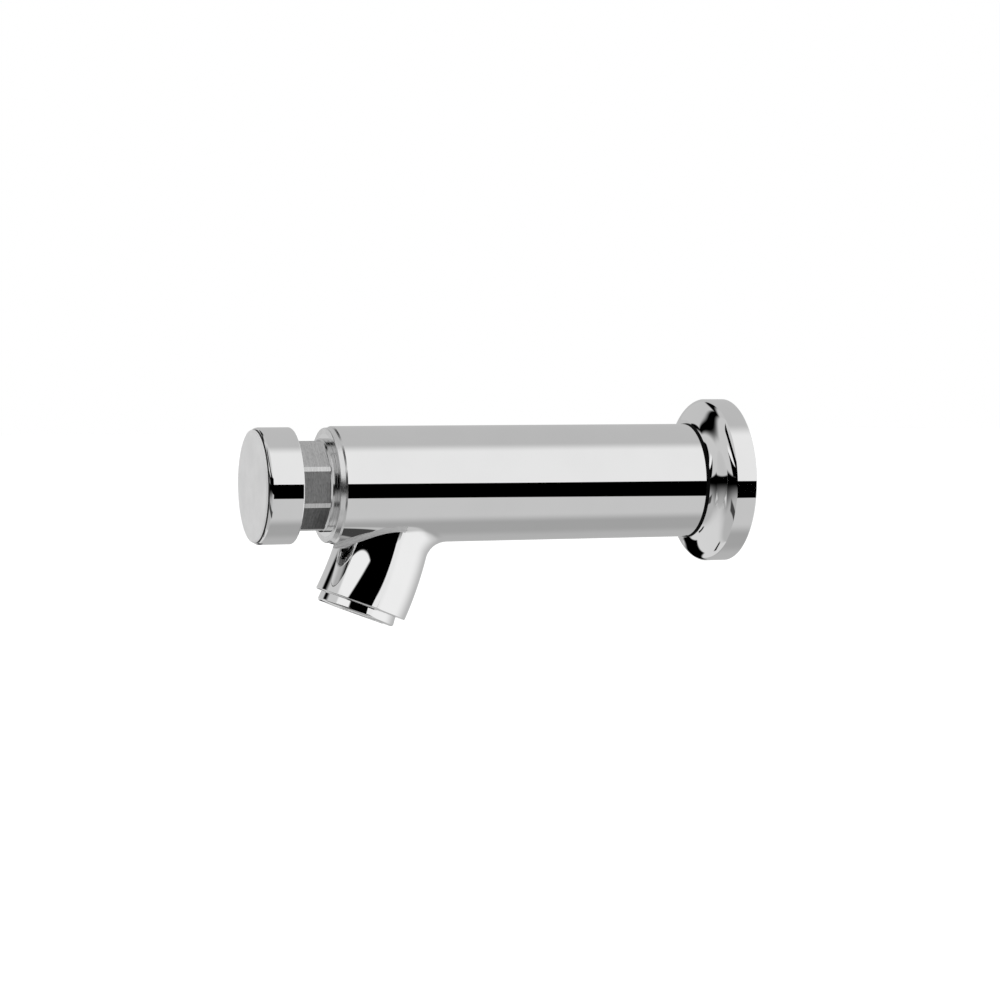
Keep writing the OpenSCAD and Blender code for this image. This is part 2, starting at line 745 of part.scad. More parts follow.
module aerator_ring() {
  edge_r = aerator_drop / 3;
  color(chrome) along_tap() along_spout() difference() {
    rotate_extrude() polygon(concat(
      [[0, sleeve_top], [sleeve_r, sleeve_top], [sleeve_r, spout_len], [aerator_ring_d / 2, spout_len]],
      arc(aerator_ring_d / 2 - edge_r, ring_end - edge_r, edge_r, 0, 90),
      [[0, ring_end]]));
    hole(sleeve_inner_r, sleeve_top - cut, ring_end - ring_lip);
    hole(sleeve_inner_r - ring_lip, ring_end - ring_lip - cut, ring_end + cut);
  }
}

module aerator_washer() {
  color(rubber) along_tap() along_spout()
    tube(aerator_bore_r - seat_fit, passage_d / 2 + seat_fit, aerator_top, sleeve_top);
}

module aerator_insert() {
  insert_r = sleeve_inner_r - seat_fit;
  inner_r = insert_r - aerator_wall;
  plate_front = sleeve_top + 1.5 * aerator_wall;
  color(white_plastic) along_tap() along_spout() difference() {
    tube(insert_r, 0, sleeve_top, screen_back);
    hole(inner_r, plate_front, screen_back + cut);
    hole_rings(2, inner_r, sleeve_top - cut, plate_front + cut);
  }
}

module aerator_screen() {
  screen_r = sleeve_inner_r - seat_fit;
  color(steel) along_tap() along_spout() difference() {
    tube(screen_r, 0, screen_back, screen_back + screen_t);
    hole_rings(4, screen_r - aerator_wall, screen_back - cut, screen_back + screen_t + cut);
  }
}

body();
wall_flange();
flange_grip_ring();
inlet_washer();
inlet_strainer();
flow_regulator();
regulator_ring();
valve_cage();
cage_seal();
spring_seat();
return_spring();
valve_head();
valve_washer();
valve_nut();
stem();
timing_piston();
piston_lip_seal();
piston_circlip();
bleed_pin();
bonnet();
bonnet_seal();
stem_seals();
button();
button_cover();
button_screw();
aerator_ring();
aerator_washer();
aerator_insert();
aerator_screen();
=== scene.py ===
"""Push timed tap: the looks of every piece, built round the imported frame.

Every place along the tap is a distance t from the wall, in metres, so a point of the tap axis is
(0, -t, 0). The spout has an axis of its own, which starts on the tap axis.
"""
import math

import bpy
import numpy as np
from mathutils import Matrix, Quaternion, Vector


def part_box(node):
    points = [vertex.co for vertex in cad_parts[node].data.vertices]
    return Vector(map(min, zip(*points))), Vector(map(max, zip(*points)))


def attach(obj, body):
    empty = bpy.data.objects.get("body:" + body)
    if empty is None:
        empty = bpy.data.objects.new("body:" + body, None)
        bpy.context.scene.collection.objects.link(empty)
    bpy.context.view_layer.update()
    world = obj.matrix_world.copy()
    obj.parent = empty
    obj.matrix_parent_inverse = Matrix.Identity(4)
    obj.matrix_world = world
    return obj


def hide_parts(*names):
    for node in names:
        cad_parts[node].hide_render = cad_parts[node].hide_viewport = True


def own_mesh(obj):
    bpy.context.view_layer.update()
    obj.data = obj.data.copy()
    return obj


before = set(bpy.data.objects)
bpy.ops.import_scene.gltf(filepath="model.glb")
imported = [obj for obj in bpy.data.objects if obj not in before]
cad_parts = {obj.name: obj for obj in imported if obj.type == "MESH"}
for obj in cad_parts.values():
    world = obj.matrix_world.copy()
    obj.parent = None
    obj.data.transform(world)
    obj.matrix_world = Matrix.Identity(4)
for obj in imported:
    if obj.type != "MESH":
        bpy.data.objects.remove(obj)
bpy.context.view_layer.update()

MM = 0.001


# Sizes that the frame gives

def out_from_wall(node):
    """How far a CAD node reaches along the tap axis, measured from the wall."""
    return -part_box(node)[0].y


def back_of(node):
    """Distance from the wall at which a CAD node begins."""
    return -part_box(node)[1].y


def radius_of(node):
    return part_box(node)[1].x


TUBE_R = radius_of("body")
FLANGE_R = radius_of("wall_flange")
FLANGE_FRONT = out_from_wall("wall_flange")
BUTTON_R = radius_of("button")
BUTTON_FRONT = out_from_wall("button")
SKIRT_BACK = back_of("button")
COVER_BACK = back_of("button_cover")
NECK_FRONT = out_from_wall("bonnet")
BONNET_BACK = back_of("bonnet")
SPRING_BACK = back_of("return_spring")
SPRING_FRONT = out_from_wall("return_spring")

# Body tube

NECK_LEN = 9.3 * MM
COLLAR_H = 1.8 * MM
FACE = NECK_FRONT - NECK_LEN - COLLAR_H
EDGE_LEN = 2.14 * MM
EDGE_START = FACE - EDGE_LEN
EDGE_BEVEL = 0.52 * MM
EDGE_BEVEL_DEPTH = 0.33 * MM
EDGE_R = TUBE_R - 0.5 * MM
FACE_MID_R = 15.2 * MM
SEAL_POCKET_R = 13.22 * MM
SEAL_POCKET_DEPTH = 1.5 * MM
BONNET_BORE_R = 12.45 * MM
BONNET_BORE_LEN = 10.0 * MM
CARTRIDGE_R = 11.8 * MM
CARTRIDGE_BACK = 80.0 * MM
CARTRIDGE_FRONT = FACE - BONNET_BORE_LEN - 0.3 * MM
PASSAGE_BACK = CARTRIDGE_BACK + 16 * MM
WELL_R = 10.5 * MM
WELL_BACK = 74.0 * MM
CHAMBER_R = 13.5 * MM
CHAMBER_BACK = 28.0 * MM
REGULATOR_R = 7.5 * MM
POCKET_R = 9.115 * MM
POCKET_FRONT = 19.5 * MM
INLET_R = 9.315 * MM
INLET_LEN = 15.0 * MM
INLET_PITCH = 1.814 * MM
INLET_THREAD_DEPTH = 1.0 * MM
INLET_THREAD_START = 1.0 * MM
INLET_THREAD_END = INLET_LEN - 0.3 * MM
INLET_BEVEL = 0.6 * MM
SMALL_EDGE = 0.25 * MM
FINE_EDGE = 0.1 * MM

# Spout

SPOUT_SETBACK = 24.7 * MM
SPOUT_TILT = math.radians(21)
SPOUT_LEN = 38.2 * MM
LIP_R = 14.05 * MM
SIDE_DRAFT = math.tan(math.radians(4.5))
SIDE_HOLLOW = 0.46
FACE_DRAFT = math.tan(math.radians(0.5))
SPOUT_BOW = 0.5 * MM
FILLET_FRONT = 0.75 * MM
FILLET_SIDE = 2.6 * MM
FILLET_REAR = 7.2 * MM
FILLET_GROWS = 0.6
# Where the fillet is painted a flat grey reflection instead of chrome: round the spout's front and sides,
# past the first rows of the fillet
PAINTED_REFLECTION_FROM = -0.12
PAINTED_REFLECTION_BELOW = 0.12
LIP_ROUND = 0.4 * MM
OUTLET_R = 11.0 * MM
OUTLET_AHEAD = 0.55 * MM
OUTLET_DEPTH = 9.0 * MM
PASSAGE_R = 8.0 * MM
SPOUT_T = FACE - SPOUT_SETBACK
SPOUT_BACK = SPOUT_T - 20.8 * MM

# Mesh steps

AROUND = 192
WINDOW = 36
WINDOW_STEPS = 48
WINDOW_ROWS = 14
BLEND_ROWS = 18
WALL_ROWS = 20
PASSAGE_ROWS = 8
LIP_ROWS = 6
NECK_EDGE_ROWS = 4
THREAD_ROWS = 14
CURVE_STEPS = 32
ARC_STEP = math.radians(10)
HALVINGS = 48
BLEND_PASSES = 12
BLEND_CLEAR = 1.001
GRAIN = 1e-8


# Geometry helpers

def unit(v):
    return v / np.linalg.norm(v, axis=-1, keepdims=True)


class Axis:
    """An axis that things are turned about: start, direction, and the direction of angle zero."""

    def __init__(self, start, along, zero):
        self.start = np.array(start, float)
        self.along = unit(np.array(along, float))
        self.zero = unit(np.array(zero, float))
        self.quarter = np.cross(self.along, self.zero)

    def aim(self, out, angle, along):
        """Direction with a part out from the axis at an angle, and a part along it."""
        out, angle, along = np.broadcast_arrays(out, angle, along)
        return (out * np.cos(angle))[..., None] * self.zero \
            + (out * np.sin(angle))[..., None] * self.quarter + along[..., None] * self.along

    def place(self, radius, angle, along):
        return self.start + self.aim(radius, angle, along)

    def measure(self, points):
        """Each point's parts along the zero direction, the quarter direction and the axis."""
        off = points - self.start
        return off @ self.zero, off @ self.quarter, off @ self.along


TAP = Axis((0, 0, 0), (0, -1, 0), (0, 0, -1))
SPOUT = Axis((0, -SPOUT_T, 0), (0, -math.sin(SPOUT_TILT), -math.cos(SPOUT_TILT)), (1, 0, 0))
OUTLET = Axis(SPOUT.start + OUTLET_AHEAD * SPOUT.quarter, SPOUT.along, SPOUT.zero)
TURN = np.arange(AROUND + 1) * 2 * math.pi / AROUND


class Skin:
    """Gathers patches of surface into one piece whose corners keep their exact directions."""

    def __init__(self):
        self.corners = []
        self.aims = []
        self.finish = []

    def patch(self, points, aims, finish=0):
        """Adds a grid of points and the way each faces, in one finish or one for each quad."""
        points, aims = np.broadcast_arrays(np.asarray(points, float), np.asarray(aims, float))

        def quads(grid):
            return np.stack([grid[:-1, :-1], grid[:-1, 1:], grid[1:, 1:], grid[1:, :-1]], 2).reshape(-1, 4, 3)
        corners, facing = quads(points), quads(aims)
        across = np.cross(corners[:, 2] - corners[:, 0], corners[:, 3] - corners[:, 1])
        if (across * facing.sum(1)).sum() < 0:
            corners, facing = corners[:, ::-1], facing[:, ::-1]
        self.corners.append(corners)
        self.aims.append(facing)
        self.finish.append(np.broadcast_to(finish, np.array(points.shape[:2]) - 1).reshape(-1))

    def turned(self, axis, outline, angles=TURN, finish=0):
        """Adds an outline, rows of radius, place along the axis and facing, turned about the axis."""
        rows = np.array(outline)[:, :, None]
        self.patch(axis.place(rows[:, 0], angles, rows[:, 1]),
                   axis.aim(rows[:, 2], angles, rows[:, 3]), finish)

    def piece(self, name, finishes):
        corners = np.concatenate(self.corners)
        aims = np.concatenate(self.aims)
        keys = np.round(corners.reshape(-1, 3) / GRAIN).astype(np.int64)
        _, first, index = np.unique(keys, axis=0, return_index=True, return_inverse=True)
        faces, facing, finish = [], [], []
        for quad, aim, kind in zip(index.reshape(-1, 4), aims, np.concatenate(self.finish)):
            kept = [i for i in range(4) if quad[i] != quad[i - 1]]
            if len(kept) >= 3 and len({int(quad[i]) for i in kept}) == len(kept):
                faces.append([int(quad[i]) for i in kept])
                facing.extend(aim[i] for i in kept)
                finish.append(int(kind))
        mesh = bpy.data.meshes.new(name)
        mesh.from_pydata(corners.reshape(-1, 3)[first].tolist(), [], faces)
        mesh.polygons.foreach_set("use_smooth", [True] * len(faces))
        mesh.polygons.foreach_set("material_index", finish)
        mesh.normals_split_custom_set(unit(np.array(facing)).tolist())
        for item in finishes:
            mesh.materials.append(item)
        made = bpy.data.objects.new(name, mesh)
        bpy.context.scene.collection.objects.link(made)
        return made


def outline(*parts, closed=False):
    """Rows of radius, place, and facing along a turned outline, whose corners can be rounded.

    A part is a corner (radius, place, rounding), or a curve (handle, handle, corner) that runs to
    its corner from the one before. The outline keeps the material on its left: forward along an
    outside, back along a bore.
    """
    nodes = [p if np.isscalar(p[0]) else p[2] for p in parts]
    curves = [None if np.isscalar(p[0]) else p[:2] for p in parts]
    spots = np.array([n[:2] for n in nodes], float)
    count = len(nodes)

    def leaving(i):
        j = (i + 1) % count
        return unit((np.array(curves[j][0]) if curves[j] else spots[j]) - spots[i])

    def arriving(i):
        return unit(spots[i] - (np.array(curves[i][1]) if curves[i] else spots[i - 1]))

    runs = []
    for i in range(count):
        inner = closed or 0 < i < count - 1
        rounding = nodes[i][2] if len(nodes[i]) > 2 else 0
        a = arriving(i) if closed or i > 0 else leaving(i)
        b = leaving(i) if closed or i < count - 1 else a
        turn = math.atan2(a[0] * b[1] - a[1] * b[0], float(a @ b))
        if not inner or not rounding or abs(turn) < 1e-6:
            runs.append([(*spots[i], a[1], -a[0]), (*spots[i], b[1], -b[0])])
            continue
        reach = rounding * math.tan(abs(turn) / 2)
        start = spots[i] - reach * a
        side = math.copysign(1, turn)
        centre = start + rounding * side * np.array([-a[1], a[0]])
        steps = max(2, math.ceil(abs(turn) / ARC_STEP))
        run = []
        for k in range(steps + 1):
            c, s = math.cos(turn * k / steps), math.sin(turn * k / steps)
            way = np.array([c * a[0] - s * a[1], s * a[0] + c * a[1]])
            run.append((*(centre + rounding * side * np.array([way[1], -way[0]])), way[1], -way[0]))
        runs.append(run)
    rows = list(runs[0])
    for i in [*range(1, count), *([0] if closed else [])]:
        if curves[i]:
            p0, p3 = np.array(rows[-1][:2]), np.array(runs[i][0][:2])
            p1, p2 = (np.array(h) for h in curves[i])
            for s in np.linspace(0, 1, CURVE_STEPS + 1)[1:-1]:
                spot = (1 - s) ** 3 * p0 + 3 * s * (1 - s) ** 2 * p1 + 3 * s * s * (1 - s) * p2 + s ** 3 * p3
                way = unit((1 - s) ** 2 * (p1 - p0) + 2 * s * (1 - s) * (p2 - p1) + s * s * (p3 - p2))
                rows.append((*spot, way[1], -way[0]))
        rows.extend(runs[i] if i or not closed else runs[0][:1])
    return rows


def thread(skin, axis, radius, depth, start, end, pitch, bore=False, angles=TURN, finish=0):
    """Adds a thread that is cut into a shaft of that radius, or out of a bore, and runs out at both ends."""
    rows = np.linspace(start, end, max(8, round((end - start) / pitch * THREAD_ROWS)))[:, None]
    fade = pitch
    ends = np.clip(np.minimum(rows - start, end - rows) / fade, 0, 1)
    rise = ends * ends * (3 - 2 * ends)
    slope = 6 * ends * (1 - ends) / fade * np.sign((start + end) / 2 - rows)
    phase = 2 * math.pi * rows / pitch - angles
    sign = 1 if bore else -1
    cut = sign * depth * (0.5 + 0.5 * np.sin(phase))
    r = radius + rise * cut
    along = slope * cut + rise * sign * depth * 0.5 * np.cos(phase) * 2 * math.pi / pitch
    round_it = -rise * sign * depth * 0.5 * np.cos(phase) / r
    out = axis.aim(1.0, angles + 0 * r, -along)
    swing = axis.aim(1.0, angles + math.pi / 2 + 0 * r, 0.0)
    facing = unit(out - round_it[..., None] * swing)
    skin.patch(axis.place(r, angles + 0 * r, rows + 0 * r), -facing if bore else facing, finish)


# Body: tube, spout and the blend between them, in one skin

def spout_section(down):
    """Half width, half depth and backward bow of the spout at a distance down its axis."""
    rise = SPOUT_LEN - down
    share = np.clip(rise / (SPOUT_LEN - TUBE_R), 0, 1)
    wide = LIP_R - rise * SIDE_DRAFT + SIDE_HOLLOW * rise ** 2
    return wide, LIP_R - rise * FACE_DRAFT, 4 * SPOUT_BOW * share * (1 - share)


def spout_wall(angle, down):
    wide, deep, bow = spout_section(down)
    side, ahead = wide * np.cos(angle), deep * np.sin(angle) - bow
    return SPOUT.start + side[..., None] * SPOUT.zero + ahead[..., None] * SPOUT.quarter \
        + down[..., None] * SPOUT.along


def spout_angle(points):
    side, ahead, down = SPOUT.measure(points)
    wide, deep, bow = spout_section(down)
    return np.arctan2((ahead + bow) / deep, side / wide)


def from_tube(points):
    return np.hypot(points[..., 0], points[..., 2]) - TUBE_R


def from_spout(points):
    """Distance from the spout's wall, and the direction that the wall faces across the spout."""
    side, ahead, down = SPOUT.measure(points)
    wide, deep, bow = spout_section(down)
    ahead = ahead + bow
    reach = np.hypot(side / wide, ahead / deep)
    pull = np.hypot(side / wide ** 2, ahead / deep ** 2)
    facing = (side / wide ** 2 / pull)[..., None] * SPOUT.zero \
        + (ahead / deep ** 2 / pull)[..., None] * SPOUT.quarter
    return (reach - 1) * reach / pull, facing


def blend_reach(points):
    """How far from each surface the fillet between tube and spout begins."""
    side, ahead, _ = SPOUT.measure(points)
    lead = ahead / np.hypot(side, ahead)
    share = np.clip(-lead / FILLET_GROWS, 0, 1)
    fillet = FILLET_SIDE + np.where(lead > 0, (FILLET_FRONT - FILLET_SIDE) * lead,
                                    (FILLET_REAR - FILLET_SIDE) * share ** 2 * (3 - 2 * share))
    out = unit(points * np.array([1.0, 0.0, 1.0]))
    meet = (out * from_spout(points)[1]).sum(-1)
    return 4 * fillet * (1 - np.sqrt((1 + meet) / 2))


def from_body(points):
    a, b = from_tube(points), from_spout(points)[0]
    reach = blend_reach(points)
    mix = np.clip(1 - np.abs(a - b) / reach, 0, None)
    return np.minimum(a, b) - mix * mix * reach / 4


def body_facing(points):
    step = 1e-7
    change = [from_body(points + step * e) - from_body(points - step * e) for e in np.eye(3)]
    return np.stack(change, -1) / (2 * step)


def solve(low, high, positive):
    """Halves the way from low to high until the test changes sign there."""
    for _ in range(HALVINGS):
        middle = (low + high) / 2
        over = positive(middle) > 0
        low, high = np.where(over, low, middle), np.where(over, middle, high)
    return (low + high) / 2


def window(back, front):
    """Places and angles round the rectangle of a tube's wall that a branch takes."""
    angles = np.arange(-WINDOW, WINDOW + 1) * 2 * math.pi / AROUND
    places = np.linspace(back, front, WINDOW_STEPS + 1)
    border = [(back, a) for a in angles[:-1]] + [(t, angles[-1]) for t in places[:-1]] \
        + [(front, a) for a in angles[:0:-1]] + [(t, angles[0]) for t in places[:0:-1]]
    return np.array(border + border[:1])


def branch(skin, radius, back, front, middle, clear, side):
    """Adds a tube's wall between two places with a hole where clear turns positive; gives the hole's rim."""
    border = window(back, front)
    centre = np.array([middle, 0.0])

    def spots(share):
        at = centre + share[:, None] * (border - centre)
        return TAP.place(radius, at[:, 1], at[:, 0])
    share = solve(np.zeros(len(border)), np.ones(len(border)), lambda s: clear(spots(s)))
    rows = np.linspace(0, 1, WINDOW_ROWS + 1)[:, None] ** 1.5
    at = centre + (share + rows * (1 - share))[..., None] * (border - centre)
    skin.patch(TAP.place(radius, at[..., 1], at[..., 0]), TAP.aim(side, at[..., 1], 0.0))
    rest = TURN[WINDOW:AROUND - WINDOW + 1]
    places = np.linspace(back, front, WINDOW_STEPS + 1)[:, None]
    skin.patch(TAP.place(radius, rest, places), TAP.aim(side, rest, 0 * places))
    return spots(share)


def make_body(finishes):
    skin = Skin()
    middle = SPOUT_T + TUBE_R * math.tan(SPOUT_TILT)
    foot = branch(skin, TUBE_R, SPOUT_BACK, EDGE_START, middle,
                  lambda p: from_spout(p)[0] - BLEND_CLEAR * blend_reach(p), 1)

    angle = spout_angle(foot)
    lip_down = np.full_like(angle, SPOUT_LEN - LIP_ROUND)
    joint_down = solve(0.3 * lip_down, lip_down, lambda s: from_tube(spout_wall(angle, s)))
    low_down = solve(joint_down, lip_down, lambda s: from_tube(spout_wall(angle, s))
                     - BLEND_CLEAR * blend_reach(spout_wall(angle, s)))
    joint, low = spout_wall(angle, joint_down), spout_wall(angle, low_down)
    share = np.linspace(0, 1, BLEND_ROWS + 1)[:, None, None]
    curve = (1 - share) ** 2 * foot + 2 * share * (1 - share) * joint + share ** 2 * low
    for _ in range(BLEND_PASSES):
        facing = body_facing(curve[1:-1])
        curve[1:-1] -= (from_body(curve[1:-1]) / (facing ** 2).sum(-1))[..., None] * facing
    polished, painted_grey, soft = 0, 1, 2
    # Painted reflection: the fillet's front and sides, past its first rows, take a flat dull grey in place of
    # the reflection the chrome shows there
    ahead = np.sin((angle[:-1] + angle[1:]) / 2)
    is_painted_reflection = (ahead > PAINTED_REFLECTION_FROM) & (share[1:, :, 0] > PAINTED_REFLECTION_BELOW)
    skin.patch(curve, body_facing(curve), np.where(is_painted_reflection, painted_grey, polished))

    rows = np.linspace(0, 1, WALL_ROWS + 1)[:, None]
    wall = spout_wall(angle + 0 * rows, low_down + rows * (lip_down - low_down))
    skin.patch(wall, body_facing(wall))

    across = from_spout(wall[-1])[1]
    bend = np.linspace(0, math.pi / 2, LIP_ROWS + 1)[:, None, None]
    lip = wall[-1] + LIP_ROUND * ((np.cos(bend) - 1) * across + np.sin(bend) * SPOUT.along)
    skin.patch(lip, np.cos(bend) * across + np.sin(bend) * SPOUT.along)
    mouth = outline((OUTLET_R + 2 * SMALL_EDGE, SPOUT_LEN), (OUTLET_R, SPOUT_LEN, SMALL_EDGE),
                    (OUTLET_R, SPOUT_LEN - OUTLET_DEPTH))
    ring = OUTLET.place(mouth[0][0], angle, mouth[0][1])
    skin.patch(np.stack([lip[-1], ring]), SPOUT.along)
    skin.turned(OUTLET, mouth, angle)
    shelf = SPOUT_LEN - OUTLET_DEPTH
    shelf_rims = [OUTLET.place(OUTLET_R, angle, shelf), SPOUT.place(PASSAGE_R, angle, shelf)]
    skin.patch(np.stack(shelf_rims), SPOUT.along)

    inner = branch(skin, CARTRIDGE_R, PASSAGE_BACK, CARTRIDGE_FRONT,
                   SPOUT_T + CARTRIDGE_R * math.tan(SPOUT_TILT),
                   lambda p: np.hypot(*SPOUT.measure(p)[:2]) - PASSAGE_R, -1)
    side, ahead, down = SPOUT.measure(inner)
    inner_angle = np.unwrap(np.arctan2(ahead, side))
    outer_angle = np.unwrap(angle)
    inner_angle += 2 * math.pi * np.round((outer_angle - inner_angle).mean() / (2 * math.pi))
    rows = np.linspace(0, 1, PASSAGE_ROWS + 1)[:, None]
    turn = outer_angle + rows * (inner_angle - outer_angle)
    fall = shelf + rows * (down - shelf)
    skin.patch(SPOUT.place(PASSAGE_R, turn, fall), SPOUT.aim(-1.0, turn, 0 * fall))

    skin.turned(TAP, outline(
        (TUBE_R, EDGE_START), (TUBE_R - EDGE_BEVEL_DEPTH, EDGE_START + EDGE_BEVEL, FINE_EDGE),
        (EDGE_R, FACE, SMALL_EDGE), (FACE_MID_R, FACE)), finish=soft)
    skin.turned(TAP, outline(
        (FACE_MID_R, FACE), (SEAL_POCKET_R, FACE, FINE_EDGE),
        (SEAL_POCKET_R, FACE - SEAL_POCKET_DEPTH), (BONNET_BORE_R, FACE - SEAL_POCKET_DEPTH),
        (BONNET_BORE_R, FACE - BONNET_BORE_LEN), (CARTRIDGE_R, FACE - BONNET_BORE_LEN),
        (CARTRIDGE_R, CARTRIDGE_FRONT)))
    skin.turned(TAP, outline(
        (CARTRIDGE_R, PASSAGE_BACK), (CARTRIDGE_R, CARTRIDGE_BACK),
        (WELL_R, CARTRIDGE_BACK), (WELL_R, WELL_BACK), (CHAMBER_R, WELL_BACK),
        (CHAMBER_R, CHAMBER_BACK), (REGULATOR_R, CHAMBER_BACK), (REGULATOR_R, POCKET_FRONT),
        (POCKET_R, POCKET_FRONT), (POCKET_R, INLET_LEN), (INLET_R, INLET_LEN),
        (INLET_R, INLET_THREAD_END)))
    thread(skin, TAP, INLET_R, INLET_THREAD_DEPTH, INLET_THREAD_START, INLET_THREAD_END, INLET_PITCH,
           bore=True)
    skin.turned(TAP, outline(
        (INLET_R, INLET_THREAD_START), (INLET_R + INLET_BEVEL, 0, SMALL_EDGE), (TUBE_R, 0, 2 * SMALL_EDGE),
        (TUBE_R, SPOUT_BACK)))
    return skin.piece("tap_body", finishes)


# Wall flange

RIM_H = 6.57 * MM
RIM_EDGE = 0.3 * MM
FLANGE_WALL = 1.2 * MM
FLANGE_BORE = 17.6 * MM
FLANGE_TOP = 17.7 * MM
FLANGE_SLEEVE = 3.8 * MM
GRIP_ROOM = 2.4 * MM
RIM_HANDLE = (23.96 * MM, 10.07 * MM)
TOP_HANDLE = (19.44 * MM, 9.5 * MM)
LIP_OUT = 1.1 * MM
LIP_TOP = 17.6 * MM
LIP_EDGE = 0.03 * MM
LIP_GAP = 0.02 * MM


def make_flange(finishes):
    skin = Skin()
    sleeve_back = FLANGE_FRONT - FLANGE_SLEEVE
    inner = FLANGE_R - FLANGE_WALL
    bright, painted_shade = 0, 1
    mouth = (FLANGE_TOP, FLANGE_FRONT)
    bore = (FLANGE_BORE, FLANGE_FRONT - (FLANGE_TOP - FLANGE_BORE))
    skin.turned(TAP, outline(
        bore, (FLANGE_BORE, sleeve_back, SMALL_EDGE), (FLANGE_BORE + GRIP_ROOM, sleeve_back),
        (inner, RIM_H - FLANGE_WALL, SMALL_EDGE), (inner, 0, SMALL_EDGE),
        (FLANGE_R, 0, SMALL_EDGE), (FLANGE_R, RIM_H, RIM_EDGE),
        (RIM_HANDLE, TOP_HANDLE, mouth)), finish=bright)
    # Painted shadow: the lip that turns in to the tube is near black, for the shade in the gap between flange
    # and tube
    skin.turned(TAP, outline(
        mouth, (LIP_TOP, FLANGE_FRONT + LIP_OUT, LIP_EDGE),
        (TUBE_R + LIP_GAP, FLANGE_FRONT + LIP_OUT), (TUBE_R + LIP_GAP, bore[1]), bore), finish=painted_shade)
    return skin.piece("trim_flange", finishes)


# Bonnet: eight-sided neck on a round collar, with the thread and the timing chamber behind

NECK_R = 13.9 * MM
NECK_FLAT = 13.1 * MM
NECK_EDGE = 0.2 * MM
COLLAR_BEVEL = 0.45 * MM
COLLAR_EDGE = 0.08 * MM
UNDERCUT_LEN = 0.4 * MM
UNDERCUT_R = 12.02 * MM
BONNET_THREAD_R = 12.4 * MM
BONNET_THREAD_CUT = 0.6 * MM
BONNET_PITCH = 1.5 * MM
TAIL_R = 10.8 * MM
TIMING_R = 9.5 * MM
TIMING_ROOF = 2.5 * MM
GUIDE_R = 3.55 * MM
SEAL_GROOVE_R = 5.1 * MM
SEAL_GROOVE_W = 1.9 * MM
SEAL_PLACES = (10.9 * MM, 3.5 * MM)


def neck_angles():
    """Steps round the neck that meet every edge of its flats and every crossing with the collar's bevel."""
    edge = math.acos(NECK_FLAT / NECK_R)
    crossing = math.acos(NECK_FLAT / (NECK_R - COLLAR_BEVEL))
    eighth = math.pi / 4
    half = [0, crossing / 3, 2 * crossing / 3, crossing, (crossing + edge) / 2, edge, (edge + eighth / 2) / 2]
    sector = sorted({-a for a in half} | set(half)) + [eighth / 2]
    return np.array([k * eighth + a for k in range(8) for a in sector] + [8 * eighth + sector[0]])


def neck_section(angles, inset):
    """Radius of the neck's outline at each angle, drawn in by an inset."""
    off = np.abs((angles + math.pi / 8) % (math.pi / 4) - math.pi / 8)
    return np.minimum((NECK_FLAT - inset) / np.cos(off), NECK_R - inset)


